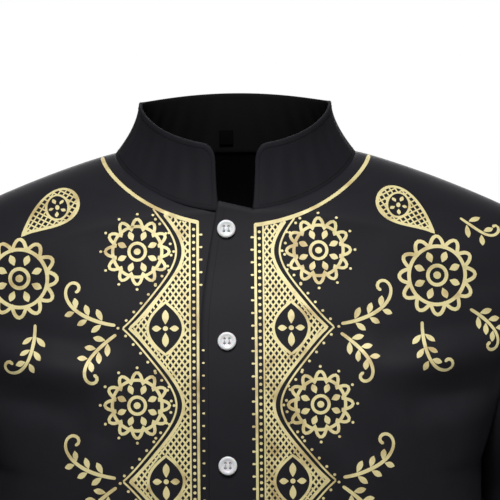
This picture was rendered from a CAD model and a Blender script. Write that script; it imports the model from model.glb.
"""A man's dashiki shirt with a stand collar, hollow as worn and hanging from its shoulders with nobody in it:
smooth black shirting, white buttons and a pale gold foil print. Metres, +Z up, the front faces -Y, and left and
right are the wearer's, so left is +X."""

import bpy
import numpy as np
from mathutils import Matrix, Vector
from mathutils.geometry import delaunay_2d_cdt


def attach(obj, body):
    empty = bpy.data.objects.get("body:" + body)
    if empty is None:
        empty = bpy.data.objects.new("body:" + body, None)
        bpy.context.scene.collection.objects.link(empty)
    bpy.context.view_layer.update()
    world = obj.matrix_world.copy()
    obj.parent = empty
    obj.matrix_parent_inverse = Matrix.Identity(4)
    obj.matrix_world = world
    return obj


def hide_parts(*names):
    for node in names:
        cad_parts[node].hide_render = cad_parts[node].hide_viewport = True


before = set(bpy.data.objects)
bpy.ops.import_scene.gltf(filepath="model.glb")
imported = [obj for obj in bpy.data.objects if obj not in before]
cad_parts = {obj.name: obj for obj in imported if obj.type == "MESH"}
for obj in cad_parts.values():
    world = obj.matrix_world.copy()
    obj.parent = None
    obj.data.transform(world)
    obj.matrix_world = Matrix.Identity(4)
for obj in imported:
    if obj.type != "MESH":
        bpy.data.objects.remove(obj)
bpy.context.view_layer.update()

# Camera
# The photograph looks straight at the front through a long lens, from a little above, and is a close-up: its frame
# holds the collar, the chest and the inner part of both shoulders.
FRAME_SIDE = 0.335  # what the photograph's frame covers at the front of the chest
FRAME_MIDDLE = Vector((0.0094, -0.08, -0.0568))
CAMERA_AWAY = 2.4
CAMERA_RISE = np.radians(4.0)
CAMERA_ROLL = np.radians(-0.5)
SENSOR = 36.0  # millimetres

camera_data = bpy.data.cameras.new("camera")
camera_data.sensor_width = SENSOR
camera_data.lens = SENSOR * CAMERA_AWAY / FRAME_SIDE
camera = bpy.data.objects.new("camera", camera_data)
bpy.context.collection.objects.link(camera)
back_to_camera = Vector((0, -np.cos(CAMERA_RISE), np.sin(CAMERA_RISE)))
camera.location = FRAME_MIDDLE + CAMERA_AWAY * back_to_camera
camera.rotation_euler = (
    back_to_camera.to_track_quat("Z", "Y").to_matrix() @ Matrix.Rotation(CAMERA_ROLL, 3, "Z")
).to_euler()
bpy.context.scene.camera = camera

# Fronts
# Two panels of thin black shirting, each cut from hem to shoulder with a button stand along its middle edge. They
# are sewn to the back at the sides and shoulders, and the wearer's left one is buttoned over the right one.
WALL = 0.0012
LAP_GAP = 0.0007
HEM_CENTRE, HEM_SIDE, ARMPIT = -0.725, -0.662, -0.205
CHEST_ROW, BLADE_ROW = -0.212, -0.205
NECK_HALF_WIDTH, NECK_FRONT, NECK_BACK = 0.083, 0.064, 0.050
NECK_SIDE_Z, NECK_FRONT_Z, NECK_BACK_Z, NECK_DIP_POWER = 0.0055, -0.031, 0.004, 1.35
SHOULDER_X, SHOULDER_Z, ARMPIT_X, SIDE_Y = 0.214, -0.047, 0.169, 0.002
ARMHOLE_FRONT, ARMHOLE_BACK = 0.056, 0.060
ARMHOLE_AT_NECK = np.radians(54)
SQUARENESS = 0.045
SHOULDER_SPREAD = np.radians(30)
CHEST_FALL, SHOULDER_FALL = 1.5, 1.12
STAND_X, LAP_EDGE_X, LAP_CORNER_X, LAP_CORNER_RISE = 0.012, -0.024, -0.0116, 0.0055
LAP_STRAIGHT_Z, UNDER_EDGE_X, UNDER_DIP = -0.118, 0.011, 0.003
PUSHED_TO, PUSH_ENDS = 0.026, 0.062
NECK_ROW_POWER = 1.25

# Height, front middle, back middle and half width of the body's sections
BODY = np.array(
    [
        (-0.725, -0.107, 0.108, 0.176),
        (-0.620, -0.106, 0.106, 0.172),
        (-0.520, -0.104, 0.097, 0.163),
        (-0.420, -0.103, 0.086, 0.156),
        (-0.330, -0.111, 0.091, 0.1625),
        (-0.250, -0.118, 0.101, 0.168),
        (-0.205, -0.117, 0.105, 0.169),
        (-0.150, -0.109, 0.104, 0.171),
        (-0.100, -0.093, 0.096, 0.172),
        (-0.060, -0.075, 0.084, 0.173),
        (-0.031, -0.064, 0.072, 0.174),
        (0.004, -0.058, 0.050, 0.175),
    ],
    dtype=[("z", float), ("front", float), ("back", float), ("side", float)],
)

# Folds: the side (1 left, -1 right), the distance from the middle and the height at both ends, width and depth.
# A positive depth stands out of the cloth, a negative one sinks in.
FOLD = [(name, float) for name in ("side", "out0", "z0", "out1", "z1", "width", "depth")]
FRONT_FOLDS = np.array(
    [
        (1, 0.084, -0.136, 0.192, -0.118, 0.015, 0.0072),
        (1, 0.112, -0.160, 0.186, -0.146, 0.012, -0.0068),
        (1, 0.060, -0.176, 0.128, -0.300, 0.012, 0.0044),
        (1, 0.092, -0.190, 0.152, -0.290, 0.011, 0.0038),
        (1, 0.056, -0.330, 0.092, -0.920, 0.026, 0.0055),
        (1, 0.108, -0.370, 0.128, -0.920, 0.022, -0.0060),
        (-1, 0.080, -0.140, 0.190, -0.120, 0.015, 0.0068),
        (-1, 0.098, -0.164, 0.182, -0.150, 0.012, -0.0064),
        (-1, 0.088, -0.180, 0.152, -0.300, 0.012, 0.0044),
        (-1, 0.066, -0.200, 0.122, -0.310, 0.011, 0.0036),
        (-1, 0.062, -0.350, 0.084, -0.920, 0.026, 0.0050),
        (-1, 0.114, -0.390, 0.138, -0.920, 0.022, -0.0060),
    ],
    dtype=FOLD,
)
# Smaller creases between the large folds
FRONT_CREASES = np.array(
    [
        (1, 0.096, -0.052, 0.182, -0.068, 0.010, 0.0010),
        (1, 0.120, -0.080, 0.186, -0.086, 0.009, -0.0012),
        (1, 0.040, -0.104, 0.128, -0.120, 0.012, -0.0009),
        (1, 0.128, -0.166, 0.160, -0.232, 0.008, -0.0016),
        (1, 0.108, -0.210, 0.160, -0.262, 0.007, -0.0014),
        (1, 0.094, -0.121, 0.200, -0.104, 0.009, -0.0030),
        (1, 0.096, -0.143, 0.194, -0.127, 0.008, 0.0020),
        (1, 0.104, -0.178, 0.172, -0.172, 0.013, 0.0024),
        (1, 0.090, -0.236, 0.166, -0.228, 0.018, -0.0036),
        (1, 0.030, -0.398, 0.142, -0.420, 0.014, 0.0018),
        (1, 0.040, -0.430, 0.130, -0.455, 0.012, -0.0016),
        (-1, 0.100, -0.056, 0.180, -0.066, 0.010, 0.0009),
        (-1, 0.116, -0.084, 0.184, -0.090, 0.009, -0.0012),
        (-1, 0.052, -0.112, 0.122, -0.122, 0.012, -0.0008),
        (-1, 0.124, -0.172, 0.156, -0.240, 0.008, -0.0016),
        (-1, 0.096, -0.222, 0.150, -0.272, 0.007, -0.0014),
        (-1, 0.092, -0.122, 0.198, -0.106, 0.009, -0.0028),
        (-1, 0.094, -0.145, 0.192, -0.130, 0.008, 0.0018),
        (-1, 0.100, -0.236, 0.166, -0.228, 0.018, -0.0028),
        (-1, 0.036, -0.388, 0.140, -0.416, 0.014, 0.0016),
        (-1, 0.044, -0.442, 0.134, -0.462, 0.012, -0.0015),
    ],
    dtype=FOLD,
)


def mix(start, end, share):
    """Start plus the share of the way to end."""
    return start + (end - start) * share


def ease(value):
    """From 0 to 1 with no slope at either: three squares less two cubes of the value, held between 0 and 1."""
    held = np.clip(value, 0, 1)
    return held * held * (3 - 2 * held)


def unit(vectors):
    """Vectors divided by their lengths."""
    return vectors / np.maximum(np.linalg.norm(vectors, axis=-1, keepdims=True), 1e-12)


def way_along(path):
    """The length of a path up to each of its points."""
    return np.concatenate([[0], np.cumsum(np.linalg.norm(np.diff(path, axis=0), axis=1))])


def read_path(path, run, at):
    """A path's places at lengths along it."""
    return np.stack([np.interp(at, run, path[:, k]) for k in (0, 1)], -1)


def through(table, column, z):
    """A smooth curve through one column of a table, by height: a cubic between each two rows, which leaves each
    row with the slope of the line between its two neighbours."""
    rows = np.sort(table, order="z")
    heights, values = rows["z"], rows[column]
    before = np.maximum(np.arange(len(rows)) - 1, 0)
    after = np.minimum(np.arange(len(rows)) + 1, len(rows) - 1)
    slopes = (values[after] - values[before]) / (heights[after] - heights[before])
    i = np.clip(np.searchsorted(heights, z, side="right") - 1, 0, len(rows) - 2)
    span = heights[i + 1] - heights[i]
    t = np.clip((z - heights[i]) / span, 0, 1)
    ends = (1 + 2 * t) * (1 - t) ** 2 * values[i] + t * t * (3 - 2 * t) * values[i + 1]
    return ends + span * (t * (1 - t) ** 2 * slopes[i] + t * t * (t - 1) * slopes[i + 1])


def neck_point(angle, is_front):
    """The neck seam at an angle from its front or back middle: an oval in plan, its height falling from the side
    to the middle by a power of the angle's cosine."""
    middle = np.maximum(np.cos(angle), 0)
    x = NECK_HALF_WIDTH * np.sin(angle)
    if is_front:
        return np.stack([x, -NECK_FRONT * middle, mix(NECK_SIDE_Z, NECK_FRONT_Z, middle**NECK_DIP_POWER)], -1)
    return np.stack([x, NECK_BACK * middle, mix(NECK_SIDE_Z, NECK_BACK_Z, middle)], -1)


def armhole_point(angle):
    """The armhole at an angle from the shoulder point: an egg-shaped ring whose front is at a quarter turn, its
    armpit at a half and its back at three quarters, leaning in towards the armpit."""
    down = (1 - np.cos(angle)) / 2
    sideways = np.sin(angle)
    hollow = np.where(sideways >= 0, -0.004, 0.002)
    reach = np.where(sideways >= 0, ARMHOLE_FRONT, ARMHOLE_BACK)
    x = mix(SHOULDER_X, ARMPIT_X, down) + hollow * sideways**2
    return np.stack([x, SIDE_Y - reach * sideways, mix(SHOULDER_Z, ARMPIT, down)], -1)


def neck_angle(label, is_front):
    """Where a row above the bottom of the neck starts, as an angle round the neck: a power of its label."""
    first = np.arcsin(STAND_X / NECK_HALF_WIDTH) if is_front else 0.0
    return mix(first, np.pi / 2, np.maximum(label - 2, 0) ** NECK_ROW_POWER)


def body_rows(label, is_front):
    """The rows of half a front or back by label: 0 at the hem, 1 at the armpit, 2 at the bottom of the neck and 3
    at the shoulder seam. A row runs from the middle or the neck to the side seam or the armhole."""
    start_x = STAND_X if is_front else 0.0
    column = "front" if is_front else "back"
    chest_z = CHEST_ROW if is_front else BLADE_ROW
    low = label <= 1
    above = np.clip(label - 1, 0, 1)
    near_seam = np.maximum(label - 2, 0)
    angle = np.where(label <= 2, mix(np.pi, ARMHOLE_AT_NECK, above), mix(ARMHOLE_AT_NECK, 0, near_seam))
    neck = neck_point(neck_angle(label, is_front), is_front)
    start_z = np.where(low, mix(HEM_CENTRE, chest_z, label), mix(chest_z, neck[:, 2], above))
    settle = (neck[:, 1] - through(BODY, column, neck[:, 2])) * above**2
    middle = np.stack([np.full_like(label, start_x), through(BODY, column, start_z) + settle, start_z], -1)
    side_z = mix(HEM_SIDE, ARMPIT, label)
    side = np.stack([through(BODY, "side", side_z), np.full_like(label, SIDE_Y), side_z], -1)
    return {
        "start": np.where((label < 2)[:, None], middle, neck),
        "end": np.where(low[:, None], side, armhole_point(angle if is_front else -angle)),
        "spread": np.where(low, np.pi / 2, mix(np.pi / 2, SHOULDER_SPREAD, (1 + np.cos(angle)) / 2)),
        "fall": np.where(low, 1.0, mix(mix(1, CHEST_FALL, above), SHOULDER_FALL, near_seam)),
        "tail": np.maximum(1 - label, 0),
    }


def row_points(rows, share, x=None):
    """Points along rows: arcs, a little squarer than an ellipse, that are flat at the middle and turn round the
    body by the row's spread. The height falls by a power of the share. On a stand the share is 0 and x is given."""
    start, end, spread = rows["start"][:, None], rows["end"][:, None], rows["spread"][:, None]
    bulge_x = lambda angle: np.sin(angle) + SQUARENESS * np.sin(3 * angle)
    bulge_y = lambda angle: np.cos(angle) - SQUARENESS * np.cos(3 * angle)
    reach = end[..., 0] / bulge_x(spread)
    steep = 1 + 3 * SQUARENESS
    first = np.arcsin(start[..., 0] / (reach * steep))
    for _ in range(4):
        first = first + (start[..., 0] / reach - bulge_x(first)) / (np.cos(first) * steep)
    angle = mix(first, spread, share) if x is None else np.arcsin(x / (reach * steep))
    turn = (bulge_y(first) - bulge_y(angle)) / (bulge_y(first) - bulge_y(spread))
    tail = rows["tail"][:, None]
    fall = mix(share ** rows["fall"][:, None], (1 - np.cos(np.pi * share)) / 2, tail)
    across = reach * bulge_x(angle) if x is None else x
    height = mix(start[..., 2], end[..., 2], fall) + 0 * angle
    return np.stack([across, mix(start[..., 1], end[..., 1], turn), height], -1)


def fold_rise(folds, side, out, z):
    """How far folds lift the cloth: across each one a bell curve, along it a half sine wave raised to 0.7."""
    rise = np.zeros_like(out)
    for fold in folds[folds["side"] == side]:
        dx, dz = fold["out1"] - fold["out0"], fold["z1"] - fold["z0"]
        along = ((out - fold["out0"]) * dx + (z - fold["z0"]) * dz) / (dx * dx + dz * dz)
        off = np.hypot(out - fold["out0"] - along * dx, z - fold["z0"] - along * dz) / fold["width"]
        rise += fold["depth"] * np.exp(-off * off) * np.sin(np.pi * np.clip(along, 0, 1)) ** 0.7
    return rise


def ripples(x, z, seed):
    """The faint unevenness of hanging cloth: a sum of slow waves in many directions, a few tenths of a millimetre."""
    rng = np.random.default_rng(seed)
    height = np.zeros_like(x)
    for _ in range(14):
        heading, length, phase = rng.uniform(0, np.pi), rng.uniform(0.028, 0.11), rng.uniform(0, 2 * np.pi)
        along = x * np.cos(heading) + 0.6 * z * np.sin(heading)
        height += length * np.sin(2 * np.pi * along / length + phase)
    return height * 0.0012


def body_half(label, share, is_front, side):
    """Half of the front or back, on the wearer's left, as a grid of points by label and share. Its folds fade out
    towards the middle, the side and the shoulder seam."""
    points = row_points(body_rows(label, is_front), share[None, :])
    large = FRONT_FOLDS if is_front else BACK_FOLDS
    small = FRONT_CREASES if is_front else BACK_CREASES
    fade = ease(share / 0.16) * ease((1 - share) / 0.1) * ease((3 - label) * 1.5)[:, None]
    out, z = points[..., 0], points[..., 2]
    rise = fold_rise(large, side, out, z) + fold_rise(small, side, out, z) + ripples(side * out, z, 3 + is_front)
    points[..., 1] += (-1 if is_front else 1) * fade * rise
    return points


def shell(name, outer, wall, cloths, present=None, wrap=False, flip=False, inward=None, rounds=1):
    """A closed sheet of cloth from a grid of outer points. The inner points lie the wall's thickness behind them,
    against the averaged face normals, and each free edge is turned over on a half circle as thick as the wall.
    Cloths are the materials of the right side and the wrong side, which meet halfway round the edges."""
    rows, columns = outer.shape[:2]
    present = np.ones((rows - 1, columns - 1), bool) if present is None else present
    corner = outer[:-1, :-1], outer[:-1, 1:], outer[1:, 1:], outer[1:, :-1]
    face_normal = np.cross(corner[2] - corner[0], corner[3] - corner[1]) * (-1 if flip else 1)
    face_middle = sum(corner) / 4
    normal, middle, count = np.zeros_like(outer), np.zeros_like(outer), np.zeros((rows, columns, 1))
    for down in (slice(0, rows - 1), slice(1, rows)):
        for across in (slice(0, columns - 1), slice(1, columns)):
            normal[down, across] += face_normal * present[..., None]
            middle[down, across] += face_middle * present[..., None]
            count[down, across] += present[..., None]
    if wrap:
        for summed in (normal, count):
            summed[:, 0] += summed[:, -1]
            summed[:, -1] = summed[:, 0]
        middle[:, 0] += middle[:, -1]
        middle[:, -1] = middle[:, 0]
    normal = unit(normal)
    beyond = unit(outer - middle / np.maximum(count, 1))
    inner = outer + wall * (-normal if inward is None else inward)
    spot = np.arange(rows * columns).reshape(rows, columns)
    grid = spot.copy()
    if wrap:
        grid[:, -1] = grid[:, 0]
    quad = np.stack([spot[:-1, :-1], spot[:-1, 1:], spot[1:, 1:], spot[1:, :-1]], -1)[present]
    padded = np.pad(present, 1)
    edges = []
    below, above = padded[:-1, 1:-1], padded[1:, 1:-1]
    edges.append(np.stack([spot[:, :-1], spot[:, 1:]], -1)[above & ~below])
    edges.append(np.stack([spot[:, 1:], spot[:, :-1]], -1)[below & ~above])
    before, after = padded[1:-1, :-1], padded[1:-1, 1:]
    if wrap:
        before, after = before.copy(), after.copy()
        before[:, 0], after[:, -1] = present[:, -1], present[:, 0]
    edges.append(np.stack([spot[1:], spot[:-1]], -1)[after & ~before])
    edges.append(np.stack([spot[:-1], spot[1:]], -1)[before & ~after])
    edge = np.concatenate(edges)
    if flip:
        quad, edge = quad[:, ::-1], edge[:, ::-1]
    size = rows * columns
    layers = [outer]
    for step in range(1, rounds + 1):
        angle = np.pi * step / (rounds + 1)
        centre, half = (outer + inner) / 2, np.linalg.norm(outer - inner, axis=-1, keepdims=True) / 2
        layers.append(centre + np.cos(angle) * (outer - centre) + np.sin(angle) * half * beyond)
    layers.append(inner)
    points = np.concatenate([layer.reshape(-1, 3) for layer in layers])
    faces = [quad, quad[:, ::-1] + size * (rounds + 1)]
    for step in range(rounds + 1):
        start, end = edge[:, 0] + size * step, edge[:, 1] + size * step
        faces.append(np.stack([start, start + size, end + size, end], -1))
    faces = np.concatenate(faces)
    merged = (np.arange(rounds + 2)[:, None] * size + grid.reshape(1, -1)).reshape(-1)
    run_down = np.linalg.norm(np.diff(outer, axis=0, prepend=outer[:1]), axis=-1).mean(1).cumsum()
    run_across = np.linalg.norm(np.diff(outer, axis=1, prepend=outer[:, :1]), axis=-1).mean(0).cumsum()
    run = np.stack(np.broadcast_arrays(run_across[None, :], run_down[:, None]), -1)
    run_all = np.tile(run.reshape(-1, 2), (rounds + 2, 1))
    piece = mesh_piece(name, points, merged[faces], run_all[faces].reshape(-1, 2))
    for cloth in cloths:
        piece.data.materials.append(cloth)
    wrong_side = np.zeros(len(faces), np.int32)
    wrong_side[len(quad):2 * len(quad)] = 1
    wrong_side[2 * len(quad) + (rounds + 1) // 2 * len(edge):] = 1
    piece.data.polygons.foreach_set("material_index", wrong_side)
    return piece


def mesh_piece(name, points, faces, uv=None, smooth=True):
    """A mesh object of points and equal-sided faces, with unused points left out."""
    used, faces_at = np.unique(faces, return_inverse=True)
    faces_at = faces_at.reshape(faces.shape)
    mesh = bpy.data.meshes.new(name)
    mesh.vertices.add(len(used))
    mesh.vertices.foreach_set("co", points[used].astype(np.float32).ravel())
    mesh.loops.add(faces_at.size)
    mesh.loops.foreach_set("vertex_index", faces_at.ravel().astype(np.int32))
    mesh.polygons.add(len(faces_at))
    mesh.polygons.foreach_set("loop_start", np.arange(0, faces_at.size, faces.shape[1], dtype=np.int32))
    mesh.update(calc_edges=True)
    mesh.polygons.foreach_set("use_smooth", np.full(len(faces_at), smooth))
    if uv is not None:
        layer = mesh.uv_layers.new(name="cloth_run")
        layer.data.foreach_set("uv", uv.astype(np.float32).ravel())
    mesh.validate()
    piece = bpy.data.objects.new(name, mesh)
    bpy.context.collection.objects.link(piece)
    return piece


def new_material(name):
    """A material's nodes, its links and its Principled shader."""
    material = bpy.data.materials.new(name)
    material.use_nodes = True
    nodes = material.node_tree.nodes
    return material, nodes, material.node_tree.links, nodes["Principled BSDF"]


def plain(name, colour, roughness, specular=0.5):
    """A material of one colour."""
    material, _, _, shader = new_material(name)
    shader.inputs["Base Color"].default_value = (*colour, 1)
    shader.inputs["Roughness"].default_value = roughness
    shader.inputs["Specular IOR Level"].default_value = specular
    return material


def weave_group():
    """Plain weave on a piece's cloth run. Where a checker is white the upright yarn lies on top and where it is
    black the level one does. Each yarn is a rounded ridge, and slow noise makes some of them thicker."""
    group = bpy.data.node_groups.new("plain weave", "ShaderNodeTree")
    group.interface.new_socket("Yarn", in_out="INPUT", socket_type="NodeSocketFloat").default_value = 2900
    group.interface.new_socket("Height", in_out="OUTPUT", socket_type="NodeSocketFloat")
    group.interface.new_socket("Patchiness", in_out="OUTPUT", socket_type="NodeSocketFloat")
    nodes, links = group.nodes, group.links
    given, made = nodes.new("NodeGroupInput"), nodes.new("NodeGroupOutput")
    run = nodes.new("ShaderNodeUVMap")
    run.uv_map = "cloth_run"
    checker = nodes.new("ShaderNodeTexChecker")
    links.new(run.outputs["UV"], checker.inputs["Vector"])
    links.new(given.outputs["Yarn"], checker.inputs["Scale"])
    ridges = []
    for direction in ("X", "Y"):
        wave = nodes.new("ShaderNodeTexWave")
        wave.bands_direction = direction
        wave.inputs["Distortion"].default_value = 0.35
        scaled = nodes.new("ShaderNodeMath")
        scaled.operation = "MULTIPLY"
        scaled.inputs[1].default_value = np.pi / 20
        links.new(given.outputs["Yarn"], scaled.inputs[0])
        links.new(scaled.outputs[0], wave.inputs["Scale"])
        links.new(run.outputs["UV"], wave.inputs["Vector"])
        ridges.append(wave.outputs["Fac"])
    over = nodes.new("ShaderNodeMix")
    links.new(checker.outputs["Fac"], over.inputs["Factor"])
    links.new(ridges[0], over.inputs["A"])
    links.new(ridges[1], over.inputs["B"])
    links.new(over.outputs["Result"], made.inputs["Height"])
    patch = nodes.new("ShaderNodeTexNoise")
    patch.inputs["Scale"].default_value = 46
    patch.inputs["Detail"].default_value = 5
    links.new(run.outputs["UV"], patch.inputs["Vector"])
    links.new(patch.outputs["Fac"], made.inputs["Patchiness"])
    return group


PLAIN_WEAVE = weave_group()


def shirting(name, colour, roughness, sheen):
    """Black shirting: a near-black colour that noise varies a little, a soft sheen, and the weave as bump."""
    material, nodes, links, shader = new_material(name)
    weave = nodes.new("ShaderNodeGroup")
    weave.node_tree = PLAIN_WEAVE
    shade = nodes.new("ShaderNodeMix")
    shade.data_type = "RGBA"
    shade.inputs["A"].default_value = (*(0.86 * channel for channel in colour), 1)
    shade.inputs["B"].default_value = (*(1.14 * channel for channel in colour), 1)
    links.new(weave.outputs["Patchiness"], shade.inputs["Factor"])
    links.new(shade.outputs["Result"], shader.inputs["Base Color"])
    rough = nodes.new("ShaderNodeMapRange")
    rough.inputs["To Min"].default_value = roughness - 0.05
    rough.inputs["To Max"].default_value = roughness + 0.05
    links.new(weave.outputs["Patchiness"], rough.inputs["Value"])
    links.new(rough.outputs["Result"], shader.inputs["Roughness"])
    bump = nodes.new("ShaderNodeBump")
    bump.inputs["Strength"].default_value = 0.15
    bump.inputs["Distance"].default_value = 0.00006
    links.new(weave.outputs["Height"], bump.inputs["Height"])
    links.new(bump.outputs["Normal"], shader.inputs["Normal"])
    shader.inputs["Specular IOR Level"].default_value = 0.10
    shader.inputs["Sheen Weight"].default_value = sheen
    shader.inputs["Sheen Roughness"].default_value = 0.45
    shader.inputs["Sheen Tint"].default_value = (0.85, 0.87, 1.0, 1)
    return material


BODY_CLOTH = shirting("body shirting", (0.0200, 0.0192, 0.0235), 0.55, 0.02)
WRONG_SIDE = shirting("wrong side of the shirting", (0.0062, 0.0060, 0.0068), 0.75, 0.0)
ROW_LABELS = np.concatenate([
    np.linspace(0, 1, 96, endpoint=False), np.linspace(1, 2, 58, endpoint=False), np.linspace(2, 3, 26)
])
FRONT_SHARES = np.linspace(0, 1, 80)
STAND_STEPS = np.linspace(1, 0, 13)[:-1]


def front_panel(is_left):
    """A front's outer points and which of its faces are cloth: the half front, and beside it the button stand,
    which ends at the neck. The right front lies pushed in behind the lap and is mirrored to the other side."""
    half = body_half(ROW_LABELS, FRONT_SHARES, True, 1 if is_left else -1)
    rows = body_rows(ROW_LABELS, True)
    top = neck_point(neck_angle(np.array([2.0]), True), True)[0, 2]
    below_top = np.clip((top - rows["start"][:, 2]) / (top - LAP_STRAIGHT_Z), 0, 1)
    lap_edge = mix(LAP_CORNER_X, LAP_EDGE_X, np.sin(below_top * np.pi / 2))
    edge = lap_edge if is_left else np.full_like(lap_edge, -UNDER_EDGE_X)
    stand = row_points(rows, 0.0, mix(STAND_X, edge[:, None], STAND_STEPS[None, :]))
    near_top = np.clip(1 - (2 - ROW_LABELS) * 4.5, 0, 1)[:, None]
    stand[..., 2] += near_top * (LAP_CORNER_RISE if is_left else -UNDER_DIP) * STAND_STEPS
    points = np.concatenate([stand, half], 1)
    present = np.ones((len(ROW_LABELS) - 1, points.shape[1] - 1), bool)
    present[ROW_LABELS[:-1] >= 2 - 1e-9, : len(STAND_STEPS)] = False
    if not is_left:
        out = points[..., 0]
        points[..., 1] += (WALL + LAP_GAP) * ease((PUSH_ENDS - out) / (PUSH_ENDS - PUSHED_TO))
        points[..., 0] *= -1
    return points, present


left_points, left_present = front_panel(True)
right_points, right_present = front_panel(False)
BODY_CLOTHS = (BODY_CLOTH, WRONG_SIDE)
front_left = shell("front_left_cloth", left_points, WALL, BODY_CLOTHS, left_present)
front_right = shell("front_right_cloth", right_points, WALL, BODY_CLOTHS, right_present, flip=True)
for piece, node in ((front_left, "front_left"), (front_right, "front_right")):
    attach(piece, "root")
    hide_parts(node)

# Gold print
# Pale gold foil, pressed onto the made-up fronts: a line round the neck and, on each side of the buttons, a netted
# band with a pointed, beaded edge, ring flowers in its hollows, and paisleys and leaf sprays out to the shoulder.
# The pattern is drawn in millimetres, outwards from the line of buttons and up, and laid on the cloth.
MM = 0.001
PRINT_AXIS_X = -5.5
FOIL_STEP = 1.7  # spacing of the points along a line
FOIL_LOW, FOIL_HIGH = 0.04, 0.14  # height of the foil's two faces over the cloth
NUDGE = 0.4  # half the distance over which the cloth's slope is read
NET_LIFT = 0.02  # one family of the net's lines lies this much over the other
NET_PITCH = 3.1
MAP_STEP = 1.0
PETAL_WIDTHS = np.array([0.25, 0.6, 0.95, 1, 0.8, 0.3])
RING_POINTS = 96
STEM_POINTS, STEM_WIDTHS, LEAF_SPREAD = 90, np.array([2.2, 2.6, 2.4, 2.1, 2.4]), 50


def cloth_map(points):
    """A front or back as depth by x and z, for laying things on it. Each of its rows is read off at every x on a
    1 mm grid, and then each x at every z."""
    spots = points / MM
    x = np.arange(np.nanmin(spots[..., 0]), np.nanmax(spots[..., 0]), MAP_STEP)
    read = []
    for row in spots:
        row = row[np.isfinite(row[:, 0])]
        row = row[np.argsort(row[:, 0])]
        read.append([np.interp(x, row[:, 0], row[:, 2]), np.interp(x, row[:, 0], row[:, 1])])
    read = np.array(read)
    z = np.arange(np.nanmin(spots[..., 2]), np.nanmax(spots[..., 2]), MAP_STEP)
    depth = np.stack([np.interp(z, read[:, 0, j], read[:, 1, j]) for j in range(len(x))])
    return x[0], z[0], depth


def on_map(cloth, spots):
    """Points on the cloth at given x and z: the map's four nearest depths, blended by distance."""
    x0, z0, depth = cloth
    across = np.clip((spots[..., 0] - x0) / MAP_STEP, 0, depth.shape[0] - 1.001)
    up = np.clip((spots[..., 1] - z0) / MAP_STEP, 0, depth.shape[1] - 1.001)
    i, j = across.astype(int), up.astype(int)
    s, t = across - i, up - j
    low = mix(depth[i, j], depth[i + 1, j], s)
    high = mix(depth[i, j + 1], depth[i + 1, j + 1], s)
    return np.stack([spots[..., 0], mix(low, high, t), spots[..., 1]], -1)


def stroke_points(path, width, closed):
    """A line's points at even steps and its half width at each. An open line is rounded off: near its ends the
    half width follows a quarter circle. Several widths are spread evenly along the line."""
    path = np.concatenate([path, path[:1]]) if closed else path
    run = way_along(path)
    length, widest = run[-1], np.max(width) / 2
    if closed:
        at = np.linspace(0, length, max(int(length / FOIL_STEP), 8) + 1)[:-1]
    else:
        inset = min(widest, length * 0.49)
        inner = np.linspace(inset, length - inset, max(int(length / FOIL_STEP), 1) + 1)
        near = inset * np.array([0, 0.15, 0.5])
        at = np.concatenate([near, inner, (length - near)[::-1]])
    half = np.interp(at / length, np.linspace(0, 1, np.size(width)), np.atleast_1d(width)) / 2
    if not closed:
        close = np.clip(np.minimum(at, length - at) / inset, 0, 1)
        half = half * np.sqrt(1 - 0.94 * (1 - close) ** 2)
    return read_path(path, run, at), half


def lay(name, strokes, surface, facing, low=FOIL_LOW, high=FOIL_HIGH):
    """Lines as thin closed strips on a surface. At each point a section of four corners stands across the line: half
    the width to each side and the two heights over the surface. Strokes are (path, width, closed, lift)."""
    spots, half, lift, after, before, first, last = [], [], [], [], [], [], []
    total = 0
    for path, width, closed, raised in strokes:
        places, halves = stroke_points(path, width, closed)
        count = len(places)
        index = np.arange(total, total + count)
        spots.append(places)
        half.append(halves)
        lift.append(np.full(count, raised))
        after.append(np.roll(index, -1) if closed else np.append(index[1:], index[-1]))
        before.append(np.roll(index, 1) if closed else np.append(index[0], index[:-1]))
        if not closed:
            first.append(index[0])
            last.append(index[-1])
        total += count
    spots, half, lift = np.concatenate(spots), np.concatenate(half), np.concatenate(lift)
    after, before = np.concatenate(after), np.concatenate(before)
    centre = surface(spots)
    across = surface(spots + (NUDGE, 0)) - surface(spots - (NUDGE, 0))
    up = surface(spots + (0, NUDGE)) - surface(spots - (0, NUDGE))
    normal = unit(np.cross(across, up)) * facing
    side = unit(np.cross(centre[after] - centre[before], normal)) * half[:, None]
    bevel = np.minimum(0.4 * (high - low) / np.maximum(half, 1e-6), 0.3)[:, None]
    bottom, top = normal * (low + lift)[:, None], normal * (high + lift)[:, None]
    section = np.stack([-side + bottom, -side * (1 - bevel) + top, side * (1 - bevel) + top, side + bottom], 1)
    points = (centre[:, None] + section).reshape(-1, 3) * MM
    start = np.flatnonzero(after != np.arange(total))
    here, there = start[:, None] * 4, after[start][:, None] * 4
    sides = [np.concatenate([here + k, here + (k + 1) % 4, there + (k + 1) % 4, there + k], 1) for k in range(4)]
    first, last = np.array(first, int)[:, None] * 4, np.array(last, int)[:, None] * 4
    faces = np.concatenate(sides + [first + (0, 3, 2, 1), last + (0, 1, 2, 3)])
    return mesh_piece(name, points, faces, smooth=False)


def line(path, width, closed=False, lift=0):
    """One stroke of the foil: its path, one or more widths, whether it closes, and how far it is lifted."""
    return np.asarray(path, float), width, closed, lift


def placed(strokes, centre, angle=0.0):
    """A motif's lines turned by degrees and moved to a centre."""
    c, s = np.cos(np.radians(angle)), np.sin(np.radians(angle))
    return [line(path @ np.array([[c, s], [-s, c]]) + centre, *rest) for path, *rest in strokes]


def dot(across, up, radius):
    """A round spot: a line as long as it is wide, with both ends rounded off."""
    return line([(across - radius, up), (across + radius, up)], 2 * radius)


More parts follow.
